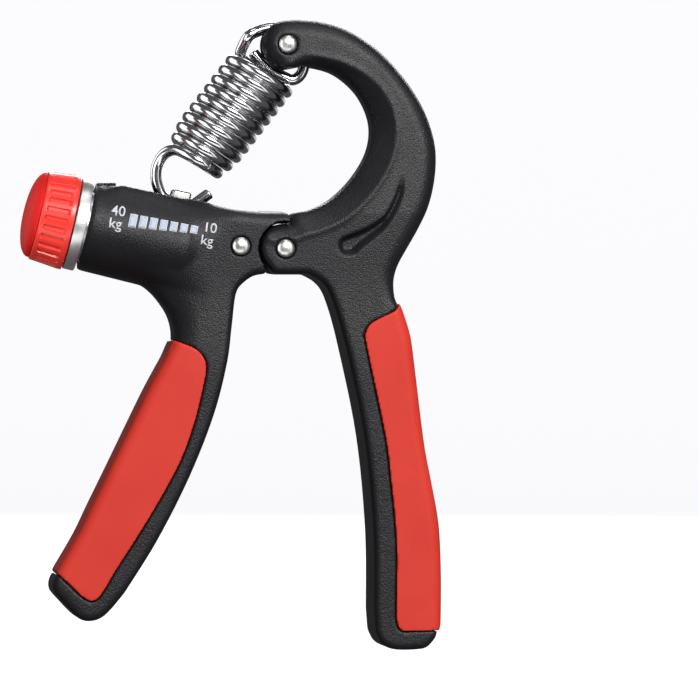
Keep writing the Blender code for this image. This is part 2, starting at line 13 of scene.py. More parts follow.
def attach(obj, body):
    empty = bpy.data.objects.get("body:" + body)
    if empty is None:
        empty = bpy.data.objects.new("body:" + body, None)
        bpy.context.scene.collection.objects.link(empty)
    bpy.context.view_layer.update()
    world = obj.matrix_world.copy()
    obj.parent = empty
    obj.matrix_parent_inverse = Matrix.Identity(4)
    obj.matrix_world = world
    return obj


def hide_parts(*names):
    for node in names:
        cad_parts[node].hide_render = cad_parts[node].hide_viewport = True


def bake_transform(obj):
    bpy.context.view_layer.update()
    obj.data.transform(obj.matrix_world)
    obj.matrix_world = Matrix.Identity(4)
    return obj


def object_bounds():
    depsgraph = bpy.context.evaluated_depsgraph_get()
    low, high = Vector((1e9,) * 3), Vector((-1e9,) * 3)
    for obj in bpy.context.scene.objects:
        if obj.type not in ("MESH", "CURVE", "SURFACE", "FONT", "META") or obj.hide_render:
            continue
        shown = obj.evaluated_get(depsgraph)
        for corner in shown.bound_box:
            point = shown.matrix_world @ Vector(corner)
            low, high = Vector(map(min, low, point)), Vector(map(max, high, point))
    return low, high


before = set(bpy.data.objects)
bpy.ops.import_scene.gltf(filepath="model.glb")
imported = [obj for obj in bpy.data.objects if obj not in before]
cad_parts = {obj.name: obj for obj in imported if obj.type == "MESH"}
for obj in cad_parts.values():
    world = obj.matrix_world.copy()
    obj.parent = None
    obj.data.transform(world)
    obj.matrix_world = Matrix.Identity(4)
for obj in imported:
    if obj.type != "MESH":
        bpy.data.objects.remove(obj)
cad_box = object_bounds()

MM = 0.001
HINGE = Vector((-33.0, 0.0, 50.0)) * MM
PLACE = Matrix.Translation(HINGE) @ Matrix.Scale(MM, 4)
VOXEL = 0.33

HANDLE_HALF_DEPTH = 10.5
HINGE_HALF_DEPTH = 9.6
ARCH_TIP_HALF_DEPTH = 6.3
ARCH_TIP_RADIUS = 5.8
GRIP_HALF_DEPTH = 10.9
CORE_HALF_DEPTH = 8.0
CORE_INSET = 2.9
GRIP_GAP = 0.3
LUG_RADIUS = 5.75
POCKET_RADIUS = 6.3
LINK_HALF_SLOT = 1.55
LINK_RIVET = (-10.4, 0.5)
SPRING_PIN = (0.8, 47.35)
RIVET_RADIUS = 2.1
BARREL_TILT = radians(13)
BARREL_FACE = (-47.5, 5.6)
BARREL_RADIUS = 10.3
KNOB_RADIUS = 11.1
FLUTES = 30
WIRE_RADIUS = 1.32

CAMERA_AZIMUTH = radians(-6)
CAMERA_DISTANCE = 1.5
SEEN_WIDTH = 0.1626
SENSOR_WIDTH = 36.0
FLOOR_DROP = 0.0065


# Geometry helpers

def ramp(value, low, high):
    t = np.clip((value - low) / (high - low), 0.0, 1.0)
    return t * t * (3 - 2 * t)


def arc(centre, radius, start, end, steps):
    angles = [radians(start + (end - start) * i / steps) for i in range(steps + 1)]
    return [(centre[0] + radius * cos(a), centre[1] + radius * sin(a)) for a in angles]


def smooth(points, steps=6, closed=False):
    """Catmull-Rom points through the given ones, of any dimension."""
    n = len(points)
    pts = [Vector(p) for p in points]

    def at(i):
        return pts[i % n] if closed else pts[min(max(i, 0), n - 1)]

    found = []
    for i in range(n if closed else n - 1):
        a, b, c, d = at(i - 1), at(i), at(i + 1), at(i + 2)
        for k in range(steps):
            t = k / steps
            found.append(0.5 * (2 * b + (c - a) * t + (2 * a - 5 * b + 4 * c - d) * t**2
                                + (3 * b - a - 3 * c + d) * t**3))
    if not closed:
        found.append(pts[-1])
    return [tuple(p) for p in found]


def offset(points, distance):
    """An open outline moved to its left by distance."""
    found = []
    for i, point in enumerate(points):
        before = Vector(points[max(i - 1, 0)])
        after = Vector(points[min(i + 1, len(points) - 1)])
        along = (after - before).normalized()
        found.append((point[0] - along.y * distance, point[1] + along.x * distance))
    return found


def new_object(name, mesh):
    obj = bpy.data.objects.new(name, mesh)
    bpy.context.scene.collection.objects.link(obj)
    return obj


def evaluated_mesh(obj):
    bpy.context.view_layer.update()
    graph = bpy.context.evaluated_depsgraph_get()
    return bpy.data.meshes.new_from_object(obj.evaluated_get(graph))


def baked(obj):
    """The object with its modifiers applied to its mesh."""
    mesh = evaluated_mesh(obj)
    obj.modifiers.clear()
    obj.data = mesh
    return obj


def mesh_of_curve(data):
    """The mesh that a curve or a text makes."""
    shape = new_object(data.name + "_outline", data)
    mesh = evaluated_mesh(shape)
    bpy.data.objects.remove(shape, do_unlink=True)
    return mesh


def mesh_of_bmesh(name, work):
    mesh = bpy.data.meshes.new(name)
    work.to_mesh(mesh)
    work.free()
    return mesh


def prism(name, outlines, half_depth, edge=0.0, grow=0.0, rounds=4):
    """Flat outlines in the XZ plane thickened along Y, with rounded edges."""
    data = bpy.data.curves.new(name, "CURVE")
    data.dimensions = "2D"
    data.fill_mode = "BOTH"
    data.extrude = half_depth - edge
    data.bevel_depth = edge
    data.bevel_resolution = rounds if edge else 0
    data.offset = grow - edge
    for points in outlines:
        line = data.splines.new("POLY")
        line.points.add(len(points) - 1)
        for spot, (x, z) in zip(line.points, points):
            spot.co = (x, z, 0.0, 1.0)
        line.use_cyclic_u = True
    mesh = mesh_of_curve(data)
    work = bmesh.new()
    work.from_mesh(mesh)
    bmesh.ops.remove_doubles(work, verts=work.verts, dist=1e-4)
    bmesh.ops.transform(work, matrix=Matrix.Rotation(pi / 2, 4, "X"), verts=work.verts)
    bmesh.ops.recalc_face_normals(work, faces=work.faces)
    work.to_mesh(mesh)
    work.free()
    return new_object(name, mesh)


def lathe(name, profile, steps=64, radius_at=None):
    """A closed profile of (radius, distance) turned about Z. radius_at may change a radius by place."""
    work = bmesh.new()
    rings = []
    for r, d in profile:
        if r <= 0:
            rings.append([work.verts.new((0, 0, d))])
            continue
        ring = []
        for i in range(steps):
            a = 2 * pi * i / steps
            now = radius_at(r, d, a) if radius_at else r
            ring.append(work.verts.new((now * cos(a), now * sin(a), d)))
        rings.append(ring)
    pairs = list(zip(rings, rings[1:]))
    if profile[0][0] > 0 and profile[-1][0] > 0:
        pairs.append((rings[-1], rings[0]))
    for a, b in pairs:
        for i in range(steps):
            j = (i + 1) % steps
            if len(a) == 1 and len(b) == 1:
                continue
            if len(a) == 1:
                work.faces.new((a[0], b[i], b[j]))
            elif len(b) == 1:
                work.faces.new((a[i], b[0], a[j]))
            else:
                work.faces.new((a[i], b[i], b[j], a[j]))
    bmesh.ops.recalc_face_normals(work, faces=work.faces)
    return new_object(name, mesh_of_bmesh(name, work))


def to_barrel(obj):
    """From a lathe's own Z to the barrel's axis."""
    axis = Vector((cos(BARREL_TILT), 0.0, -sin(BARREL_TILT)))
    turn = Vector((0, 0, 1)).rotation_difference(axis).to_matrix().to_4x4()
    obj.data.transform(Matrix.Translation((BARREL_FACE[0], 0, BARREL_FACE[1])) @ turn)
    return obj


def to_depth(obj, at):
    """From a lathe's own Z to +Y, at a point of the XZ plane."""
    turn = Matrix.Rotation(-pi / 2, 4, "X")
    obj.data.transform(Matrix.Translation((at[0], 0, at[1])) @ turn)
    return obj


def block(name, low, high, edge=0.0):
    """A box in the barrel's frame: along, across, above."""
    work = bmesh.new()
    bmesh.ops.create_cube(work, size=1.0)
    for spot in work.verts:
        spot.co = Vector([(lo + hi) / 2 + c * (hi - lo) for lo, hi, c in zip(low, high, spot.co)])
    if edge:
        bmesh.ops.bevel(work, geom=work.edges[:], offset=edge, segments=4, profile=0.5, affect="EDGES")
    obj = new_object(name, mesh_of_bmesh(name, work))
    turn = Matrix.Rotation(BARREL_TILT, 4, "Y")
    obj.data.transform(Matrix.Translation((BARREL_FACE[0], 0, BARREL_FACE[1])) @ turn)
    return obj


def join(obj, other, operation="DIFFERENCE"):
    change = obj.modifiers.new("Join", "BOOLEAN")
    change.operation = operation
    change.object = other
    change.solver = "MANIFOLD"
    baked(obj)
    bpy.data.objects.remove(other, do_unlink=True)
    return obj


def remesh(obj, voxel, passes=0, factor=0.5):
    change = obj.modifiers.new("Remesh", "REMESH")
    change.mode = "VOXEL"
    change.voxel_size = voxel
    change.use_smooth_shade = True
    if passes:
        soften = obj.modifiers.new("Smooth", "SMOOTH")
        soften.factor = factor
        soften.iterations = passes
    return baked(obj)


def points_of(obj):
    co = np.empty(len(obj.data.vertices) * 3)
    obj.data.vertices.foreach_get("co", co)
    return co.reshape(-1, 3)


def set_points(obj, co):
    obj.data.vertices.foreach_set("co", co.reshape(-1))
    obj.data.update()


def distance_to(x, z, line, closed=False):
    """Distance from each point to a polyline."""
    line = np.array([(p[0], p[1]) for p in line])
    ends = np.roll(line, -1, axis=0) if closed else line[1:]
    starts = line if closed else line[:-1]
    best = np.full(len(x), 1e9)
    for a, b in zip(starts, ends):
        d = b - a
        long = max(float(d @ d), 1e-12)
        t = np.clip(((x - a[0]) * d[0] + (z - a[1]) * d[1]) / long, 0, 1)
        best = np.minimum(best, np.hypot(x - a[0] - t * d[0], z - a[1] - t * d[1]))
    return best


def inside(x, z, line):
    """Whether each point is inside a closed polyline."""
    found = np.zeros(len(x), bool)
    for (ax, az), (bx, bz) in zip(line, line[1:] + line[:1]):
        crosses = (az > z) != (bz > z)
        at = ax + (z - az) * (bx - ax) / (bz - az if bz != az else 1e-9)
        found ^= crosses & (x < at)
    return found


def round_drop(distance, radius):
    """How far a rounded edge of this radius falls below the face, at a distance from the edge."""
    t = np.clip(radius - distance, 0, radius)
    return radius - np.sqrt(np.maximum(radius**2 - t**2, 0))


# Outlines of the handles, from the hinge axis

PALM_SIDE = [(27.0, -14.6), (28.5, -19.4), (29.3, -24.0), (31.8, -44.3), (33.5, -53.6), (34.9, -61.0),
             (35.6, -67.0), (35.9, -76.7), (35.8, -87.1)]
PALM_TOE = [(34.9, -90.2), (33.0, -92.3), (30.6, -92.9), (25.4, -92.9), (22.4, -91.6), (20.9, -88.9)]
PALM_INNER = [(20.5, -84.0), (20.3, -65.0), (18.2, -43.5), (13.9, -22.6), (10.9, -12.0), (8.6, -8.0),
              (5.2, -5.9)]
ARCH_INNER = [(3.1, 8.5), (6.2, 9.1), (10.9, 11.3), (15.8, 15.9), (19.4, 21.6), (20.6, 26.9),
              (19.7, 31.8), (16.8, 36.7), (12.3, 40.4), (8.0, 41.9), (4.2, 42.4)]
ARCH_OUTER = [(3.6, 53.3), (8.3, 52.9), (13.2, 51.7), (18.1, 49.3), (23.0, 45.6), (27.9, 40.2),
              (31.8, 34.3), (34.3, 28.4), (35.5, 22.6), (35.2, 16.2), (33.7, 9.9), (31.2, 4.5),
              (28.4, -0.4), (26.5, -3.9), (25.5, -7.3), (25.5, -10.9), (26.1, -12.8)]
PALM_GRIP_EDGE = [(26.4, -12.6), (25.4, -14.4), (22.5, -15.8), (19.6, -17.5), (18.4, -19.7),
                  (18.6, -22.4), (23.0, -43.5), (24.3, -53.6), (25.2, -62.2), (25.7, -70.9),
                  (25.6, -82.5), (25.7, -86.4), (26.9, -88.5), (30.0, -88.5)]
SCALLOP_WALL = [(14.4, -1.75), (13.0, -0.95), (12.3, 0.7), (12.9, 2.3), (14.9, 3.2), (18.6, 4.7),
                (22.5, 7.2), (24.6, 10.2), (26.1, 13.7), (27.2, 17.4)]
SCALLOP_RUN = [(14.4, -1.75), (16.0, -1.5), (17.7, 0.0), (20.3, 2.0), (23.0, 4.3), (25.0, 7.1),
               (26.5, 10.3), (27.4, 13.4), (27.2, 17.4)]
SCALLOP = SCALLOP_WALL + SCALLOP_RUN[-2:0:-1]

FINGER_TOP = [(-43.6, 15.3), (-35.2, 14.6), (-27.6, 13.2), (-20.5, 11.0), (-12.6, 9.35), (-8.5, 8.8),
              (-4.6, 8.5)]
BARREL_UNDER = [(-48.1, -4.7), (-39.9, -6.2), (-34.9, -7.5), (-30.8, -10.2), (-27.3, -14.5),
                (-25.9, -18.0), (-25.6, -21.2)]
FINGER_SIDE = [(-27.4, -25.2), (-31.6, -32.9), (-35.9, -41.7), (-40.4, -51.0), (-44.8, -60.0),
               (-47.8, -66.2), (-52.1, -73.6)]
FINGER_TOE = [(-53.8, -76.6), (-53.9, -79.0), (-51.6, -81.8), (-48.2, -85.2), (-45.6, -86.1),
              (-42.6, -85.3), (-40.0, -82.9)]
FINGER_INNER = [(-37.3, -79.6), (-29.7, -67.5), (-22.2, -52.7), (-16.6, -38.5), (-13.5, -26.4),
                (-12.4, -18.0), (-11.4, -10.4), (-9.6, -7.9), (-7.4, -6.4), (-4.9, -5.9)]
FINGER_GRIP_EDGE = [(-26.0, -21.2), (-23.9, -22.0), (-21.2, -23.1), (-19.2, -25.1), (-18.5, -27.7),
                    (-19.3, -32.4), (-21.2, -40.1), (-23.9, -47.8), (-27.2, -54.4), (-31.0, -61.0),
                    (-35.4, -68.1), (-39.3, -74.1), (-42.6, -79.6), (-44.8, -81.4), (-47.2, -80.3),
                    (-50.3, -77.4)]


def palm_outline():
    lug = arc((0, 0), LUG_RADIUS, 76, 222, 30) + [(-2.9, -5.7), (-1.0, -5.9)]
    tip = arc(SPRING_PIN, ARCH_TIP_RADIUS, 92, 262, 24)
    shoulder = [(2.2, 8.2), (1.38, 7.3)]
    return (lug + smooth(PALM_INNER[::-1]) + smooth(PALM_TOE[::-1]) + smooth(PALM_SIDE[::-1])
            + smooth(ARCH_OUTER[::-1]) + tip + smooth(ARCH_INNER[::-1]) + shoulder)


def finger_outline():
    return (smooth(FINGER_TOP[::-1]) + smooth(BARREL_UNDER) + smooth(FINGER_SIDE) + smooth(FINGER_TOE)
            + smooth(FINGER_INNER) + [(12.0, -5.9), (12.0, 8.4)])


def palm_grip_zone():
    """Where the palm grip lies, run out past the handle's outer side."""
    return smooth(PALM_GRIP_EDGE) + [(50, -88.5), (50, -12.6)]


def palm_core(inset):
    """What of the palm handle is inside its outer side by this much."""
    side = [(26.1, -12.8)] + PALM_SIDE + [(35.6, -89.5)]
    return offset(smooth(side), -inset) + [(-10, -100), (-10, -5)]


def finger_grip_zone():
    """Where the finger grip lies, run out past the handle's outer side."""
    return smooth(FINGER_GRIP_EDGE + [(-53.2, -74.8)]) + [(-60, -69.5), (-60, -22.0), (-45, -21.2)]


def finger_core(inset):
    """What of the finger handle is inside its outer side by this much."""
    side = [(-25.6, -21.2)] + FINGER_SIDE + [(-54.2, -77.0)]
    return offset(smooth(side), inset) + [(-40, -95), (10, -95), (10, -10), (-20, -10)]


def handle_half_depth(z):
    """Half the depth of a handle's body, which is thinner at the hinge than at the grips."""
    return HINGE_HALF_DEPTH + (HANDLE_HALF_DEPTH - HINGE_HALF_DEPTH) * ramp(-z, 5, 30)


# Procedural materials

def new_material(name):
    made = bpy.data.materials.new(name)
    made.use_nodes = True
    tree = made.node_tree
    shader = tree.nodes["Principled BSDF"]
    place = tree.nodes.new("ShaderNodeTexCoord").outputs["Object"]
    return made, tree, shader, place


def noise_of(tree, place, scale, detail=3.0, roughness=0.55, stretch=None):
    if stretch:
        mapping = tree.nodes.new("ShaderNodeMapping")
        mapping.inputs["Scale"].default_value = stretch
        tree.links.new(place, mapping.inputs["Vector"])
        place = mapping.outputs["Vector"]
    made = tree.nodes.new("ShaderNodeTexNoise")
    made.inputs["Scale"].default_value = scale
    made.inputs["Detail"].default_value = detail
    made.inputs["Roughness"].default_value = roughness
    tree.links.new(place, made.inputs["Vector"])
    return made.outputs["Fac"]


def mapped(tree, value, low, high, to_low, to_high):
    made = tree.nodes.new("ShaderNodeMapRange")
    for socket, number in (("From Min", low), ("From Max", high), ("To Min", to_low), ("To Max", to_high)):
        made.inputs[socket].default_value = number
    tree.links.new(value, made.inputs["Value"])
    return made.outputs["Result"]


def mixed(tree, share, first, second):
    made = tree.nodes.new("ShaderNodeMix")
    made.data_type = "RGBA"
    made.inputs[6].default_value = (*first, 1.0)
    made.inputs[7].default_value = (*second, 1.0)
    tree.links.new(share, made.inputs[0])
    return made.outputs[2]


def bumped(tree, shader, heights):
    """Bumps on the shader from (height, distance in metres, strength), one after the other."""
    normal = None
    for height, distance, strength in heights:
        bump = tree.nodes.new("ShaderNodeBump")
        bump.inputs["Distance"].default_value = distance
        bump.inputs["Strength"].default_value = strength
        tree.links.new(height, bump.inputs["Height"])
        if normal:
            tree.links.new(normal, bump.inputs["Normal"])
        normal = bump.outputs["Normal"]
    tree.links.new(normal, shader.inputs["Normal"])


def coloured(tree, shader, noise, first, second, low=0.3, high=0.7):
    """A base colour that drifts between two with a noise."""
    share = mapped(tree, noise, low, high, 0, 1)
    tree.links.new(mixed(tree, share, first, second), shader.inputs["Base Color"])


def roughened(tree, shader, noise, smoothest, roughest):
    rough = mapped(tree, noise, 0.3, 0.7, smoothest, roughest)
    tree.links.new(rough, shader.inputs["Roughness"])


def black_nylon():
    """Moulded nylon with a fine leather grain."""
    made, tree, shader, place = new_material("black_nylon")
    grain = noise_of(tree, place, 3000, 1.0, 0.5)
    blotch = noise_of(tree, place, 130, 3.0)
    coloured(tree, shader, blotch, (0.0120, 0.0120, 0.0142), (0.0165, 0.0165, 0.0195))
    roughened(tree, shader, blotch, 0.42, 0.48)
    shader.inputs["Specular IOR Level"].default_value = 0.4
    bumped(tree, shader, [(grain, 0.00012, 0.9), (blotch, 0.00008, 0.25)])
    return made


def red_rubber():
    """The grips' soft, dull overmould."""
    made, tree, shader, place = new_material("red_rubber")
    fine = noise_of(tree, place, 1500, 2.0)
    blotch = noise_of(tree, place, 60, 3.0)
    coloured(tree, shader, blotch, (0.80, 0.045, 0.028), (0.87, 0.058, 0.036))
    roughened(tree, shader, blotch, 0.5, 0.6)
    shader.inputs["Specular IOR Level"].default_value = 0.3
    bumped(tree, shader, [(fine, 0.00003, 0.35), (blotch, 0.0001, 0.2)])
    return made


def red_plastic(name, first, second, roughness, coat, specular=0.5):
    """The knob's hard, slightly glossy plastic."""
    made, tree, shader, place = new_material(name)
    fine = noise_of(tree, place, 900, 3.0)
    blotch = noise_of(tree, place, 110, 3.0)
    coloured(tree, shader, blotch, first, second)
    roughened(tree, shader, blotch, roughness, roughness + 0.1)
    shader.inputs["Specular IOR Level"].default_value = specular
    shader.inputs["Coat Weight"].default_value = coat
    shader.inputs["Coat Roughness"].default_value = 0.12
    bumped(tree, shader, [(fine, 0.00003, 0.3)])
    return made


def steel(name, dark, light, roughness, spread=0.12, scale=700, stretch=None, bump=0.35):
    """Plated steel with fine streaks or spots."""
    made, tree, shader, place = new_material(name)
    streak = noise_of(tree, place, scale, 4.0, 0.6, stretch)
    cloud = noise_of(tree, place, 220, 3.0)
    coloured(tree, shader, cloud, dark, light)
    roughened(tree, shader, streak, roughness, roughness + spread)
    shader.inputs["Metallic"].default_value = 1.0
    bumped(tree, shader, [(streak, 0.00002, bump)])
    return made


def print_ink(name, colour):
    """Matt ink, a little worn in spots."""
    made, tree, shader, place = new_material(name)
    worn = noise_of(tree, place, 1700, 3.0, 0.7)
    faded = tuple(c * 0.8 for c in colour)
    coloured(tree, shader, worn, faded, colour, 0.35, 0.6)
    shader.inputs["Roughness"].default_value = 0.5
    return made


BLACK = black_nylon()
RUBBER = red_rubber()
KNOB_RED = red_plastic("knob_red", (0.80, 0.030, 0.020), (0.86, 0.040, 0.026), 0.3, 0.35)
CAP_RED = red_plastic("cap_red", (0.60, 0.005, 0.003), (0.66, 0.008, 0.005), 0.6, 0.0, 0.25)
RIVET_STEEL = steel("rivet_steel", (0.70, 0.69, 0.67), (0.80, 0.79, 0.77), 0.27, 0.12)
WIRE_STEEL = steel("wire_steel", (0.56, 0.56, 0.58), (0.70, 0.70, 0.71), 0.13, 0.06, 300, bump=0.03)
PLATE_STEEL = steel("plate_steel", (0.74, 0.74, 0.74), (0.88, 0.88, 0.88), 0.3, 0.15, 900, (1, 1, 6))
BRIDGE_STEEL = steel("bridge_steel", (0.26, 0.26, 0.26), (0.40, 0.40, 0.39), 0.28, 0.15)
ZINC = steel("zinc", (0.46, 0.46, 0.45), (0.58, 0.58, 0.57), 0.38, 0.18, 600)
SCREW_STEEL = steel("screw_steel", (0.50, 0.50, 0.50), (0.64, 0.64, 0.63), 0.24, 0.14)
DARK_STEEL = steel("dark_steel", (0.18, 0.18, 0.2), (0.28, 0.28, 0.3), 0.35, 0.15)
BRASS = steel("brass", (0.66, 0.46, 0.18), (0.76, 0.56, 0.26), 0.28, 0.15)
WHITE_INK = print_ink("white_ink", (0.83, 0.86, 0.93))
BLUE_INK = print_ink("blue_ink", (0.62, 0.70, 0.88))

# The pieces of these materials are what the studio's reflecting cards light.
SHINY = (KNOB_RED, CAP_RED, RIVET_STEEL, WIRE_STEEL, PLATE_STEEL, BRIDGE_STEEL, ZINC, SCREW_STEEL,
         DARK_STEEL, BRASS)
SHINY_PIECES = []


def finish_piece(obj, material, body, replaced, sharp=35):
    """Places a piece in the part's frame and ties it to its body and the nodes it stands for."""
    obj.data.transform(PLACE)
    obj.data.materials.clear()
    obj.data.materials.append(material)
    obj.data.shade_smooth()
    if sharp:
        obj.data.set_sharp_from_angle(angle=radians(sharp))
    if body:
        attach(obj, body)
    if replaced:
        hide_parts(*replaced)
    if material in SHINY:
        SHINY_PIECES.append(obj)
    return obj


# Palm handle

def palm_half_depth(x, z):
    along = np.clip((z - 8) / 44, 0, 1)
    return handle_half_depth(z) + (ARCH_TIP_HALF_DEPTH - HINGE_HALF_DEPTH) * along


def palm_faces(x, z):
    """Half the palm handle's depth at each point, with its bevels, rounded edges and scallop."""
    depth = palm_half_depth(x, z)
    outer = smooth(ARCH_OUTER[::-1]) + arc(SPRING_PIN, ARCH_TIP_RADIUS, 92, 235, 16)
    depth = depth - 0.9 * round_drop(distance_to(x, z, outer), 3.9) * ramp(z, -16, -4)
    inner = [(-1.0, 7.0), (1.4, 7.6)] + smooth(ARCH_INNER)
    away = distance_to(x, z, inner)
    angle = np.degrees(np.arctan2(z - 26.0, x - 4.0))
    width = 5.0 - 2.7 * ramp(angle, 15, 75)
    fall = 2.9 * np.clip(1 - away / width, 0, 1) ** 1.15
    fade = 1 - ramp(z, 38, 46) * (1 - ramp(x, 3.0, 9.0))
    depth = depth - fall * fade + 0.22 * fade * np.exp(-((away - width - 0.5) / 0.6) ** 2)
    depth = depth - 0.9 * round_drop(distance_to(x, z, palm_outline(), True), 1.5)
    hollow = smooth(SCALLOP, 4, True)
    upper = distance_to(x, z, smooth(SCALLOP_WALL, 4))
    lower = distance_to(x, z, smooth(SCALLOP_RUN, 4))
    sink = np.minimum(1.7, np.minimum(2.2 * upper, 1.15 * lower)) * inside(x, z, hollow)
    return depth - sink


def make_palm_frame():
    """The palm handle, with the grip's recess, the spring's fork, the hinge slot and the rivet holes."""
    frame_piece = prism("palm_frame_shell", [palm_outline()], HANDLE_HALF_DEPTH, 0.5)
    remesh(frame_piece, VOXEL)
    co = points_of(frame_piece)
    co[:, 1] *= palm_faces(co[:, 0], co[:, 2]) / HANDLE_HALF_DEPTH
    set_points(frame_piece, co)
    recess = prism("recess", [palm_grip_zone()], 20, grow=0.12)
    join(recess, prism("core", [palm_core(CORE_INSET)], CORE_HALF_DEPTH))
    join(frame_piece, recess)
    fork = prism("fork", [[(-14, 34), (8.6, 34), (8.6, 60), (-14, 60)]], 1.75)
    join(frame_piece, fork)
    swing = [(0.0, 4.9), (-9, 4.9), (-9, -9), (0.6, -9), (0.6, -4.9)] + arc((0, 0), 4.9, -80, 88, 24)
    join(frame_piece, prism("swing", [swing], LINK_HALF_SLOT))
    for at, half in (((0, 0), HINGE_HALF_DEPTH), (SPRING_PIN, spring_half_depth())):
        join(frame_piece, rivet_hole(at, half))
    remesh(frame_piece, VOXEL, 3)
    return finish_piece(frame_piece, BLACK, "palm_handle", ["palm_handle_frame"], sharp=50)


def make_grip(handle, outline, side, zone, seat):
    """A soft grip: the handle's outline grown a little, rounded down towards its outer side, cut to its
    zone and hollowed to sit on the handle's core."""
    grip = prism(handle + "_grip_shell", [outline], GRIP_HALF_DEPTH, 0.5, 0.4)
    remesh(grip, VOXEL * 1.3)
    co = points_of(grip)
    fall = 0.95 * round_drop(distance_to(co[:, 0], co[:, 2], side), 2.6)
    co[:, 1] *= (GRIP_HALF_DEPTH - fall) / GRIP_HALF_DEPTH
    set_points(grip, co)
    join(grip, prism("zone", [zone], 20, grow=-0.04), "INTERSECT")
    join(grip, prism("seat", [seat], CORE_HALF_DEPTH + GRIP_GAP))
    remesh(grip, VOXEL, 3)
    finish_piece(grip, RUBBER, handle + "_handle", [handle + "_grip"], sharp=50)


def make_palm_grip():
    side = offset(smooth([(25.4, -8.0)] + PALM_SIDE + [(35.5, -93.0)]), 0.4)
    make_grip("palm", palm_outline(), side, palm_grip_zone(), palm_core(CORE_INSET - GRIP_GAP))


def spring_half_depth():
    return float(palm_half_depth(np.array(SPRING_PIN[0]), np.array(SPRING_PIN[1])))


def rivet_hole(at, half):
    """A cutter for a rivet: the shank's hole, a pocket for the washer and a counterbore for the head."""
    profile = [(0, half + 4), (3.25, half + 4), (3.25, half - 1.15), (1.8, half - 1.15),
               (1.8, 0.9 - half), (2.42, 0.9 - half), (2.42, -half - 4), (0, -half - 4)]
    return to_depth(lathe("hole", profile, 48), at)


# Finger handle

def barrel_place(x, z):
    """How far along the barrel from its face, and how far above its axis, a point is."""
    across = x - BARREL_FACE[0]
    above = z - BARREL_FACE[1]
    return (across * cos(BARREL_TILT) - above * sin(BARREL_TILT),
            across * sin(BARREL_TILT) + above * cos(BARREL_TILT))


def finger_faces(x, z):
    """Half the finger handle's depth at each point: the flat body falls away to meet the round barrel."""
    body = handle_half_depth(z)
    distance, height = barrel_place(x, z)
    radius = BARREL_RADIUS - 0.15
    fall = body - np.minimum(np.sqrt(np.maximum(radius**2 - height**2, 3.0)), body)
    upper = 1 - ramp(distance, 16, 36)
    lower = (1 - ramp(distance, 10, 34)) * ramp(height, -26, -8)
    fall = np.minimum(fall, 20 - 14 * ramp(distance, 12, 18) * ramp(-height, 2, 7))
    depth = body - fall * (lower + (upper - lower) * ramp(height, -3, 3))
    edge = distance_to(x, z, finger_outline(), True)
    outer = distance_to(x, z, smooth(BARREL_UNDER[2:]))
    depth = depth - 0.55 * round_drop(outer, 6.0) * ramp(distance, 12, 17) * ramp(-height, 6, 12)
    return depth - 0.9 * round_drop(edge, 1.7) - 0.8 * round_drop(edge, 3.2) * ramp(z, -6, 6)


def pocket_outline(radius):
    """The space that the palm handle's lug turns in."""
    found = arc((0, 0), radius, 80.6, 195, 30)
    found += [(-5.5, -3.4), (-4.65, -5.0), (-4.35, -9.0), (15, -9.0), (15, 14), (-0.7, 14)]
    return found + [(-0.7, 9.35), (1.05, 7.6)]


def raise_slot_sides(shell):
    """The barrel's top is a little flat on each side of the slot, so its outline stays straight."""
    co = points_of(shell)
    distance, height = barrel_place(co[:, 0], co[:, 2])
    lift = 1.35 * ramp(height, 5.0, 9.5) * ramp(distance, 3.5, 8.5) * (1 - ramp(distance, 20, 33))
    across = np.abs(co[:, 1])
    lift *= ramp(across, 2.0, 3.4) * (1 - ramp(across, 3.8, 8.0))
    lift += 0.3 * ramp(height, 5.0, 9.5) * ramp(distance, 2.5, 6.0) * (1 - ramp(across, 2.0, 3.4))
    co[:, 0] += lift * sin(BARREL_TILT)
    co[:, 2] += lift * cos(BARREL_TILT)
    set_points(shell, co)


def make_finger_frame():
    """The finger handle, with its barrel joined on and the hinge pocket, slot and bore cut out."""
    shell = prism("finger_frame_shell", [finger_outline()], HANDLE_HALF_DEPTH, 0.5)
    remesh(shell, VOXEL * 1.3)
    co = points_of(shell)
    co[:, 1] *= finger_faces(co[:, 0], co[:, 2]) / HANDLE_HALF_DEPTH
    set_points(shell, co)
    profile = [(0.0, 33.0), (5.0, 32.6), (9.0, 30.0), (BARREL_RADIUS + 0.35, 25.0),
               (BARREL_RADIUS, 3.0), (BARREL_RADIUS - 0.1, 2.4), (BARREL_RADIUS - 0.35, 2.0),
               (BARREL_RADIUS - 0.7, 1.85), (0.0, 1.85)]
    join(shell, to_barrel(lathe("barrel", profile, 96)), "UNION")
    join(shell, block("end_trim", (-12, -20, -30), (1.9, 20, 30)))
    remesh(shell, VOXEL, 8)
    raise_slot_sides(shell)
    join(shell, prism("pocket", [pocket_outline(LUG_RADIUS + 0.2)], 20))
    for side in (-1, 1):
        face = prism("pocket_face", [pocket_outline(POCKET_RADIUS)], 8)
        face.data.transform(Matrix.Translation((0, side * 14.0, 0)))
        join(shell, face)
    slot = arc(LINK_RIVET, 3.9, 90, 270, 16) + [(4, -3.9), (4, 4.4)]
    join(shell, prism("link_slot", [slot], LINK_HALF_SLOT))
    join(shell, rivet_hole(LINK_RIVET, HINGE_HALF_DEPTH))
    join(shell, to_barrel(lathe("bore", [(0, 31.5), (8.25, 31.5), (8.25, -2), (0, -2)], 96)))
    join(shell, block("slot", (6.5, -3.3, 7.2), (40.0, 3.3, 18.0)))
    recess = prism("recess", [finger_grip_zone()], 20, grow=0.12)
    join(recess, prism("core", [finger_core(CORE_INSET)], CORE_HALF_DEPTH))
    join(shell, recess)
    remesh(shell, VOXEL, 2)
    return finish_piece(shell, BLACK, "finger_handle", ["finger_handle_frame"], sharp=50)


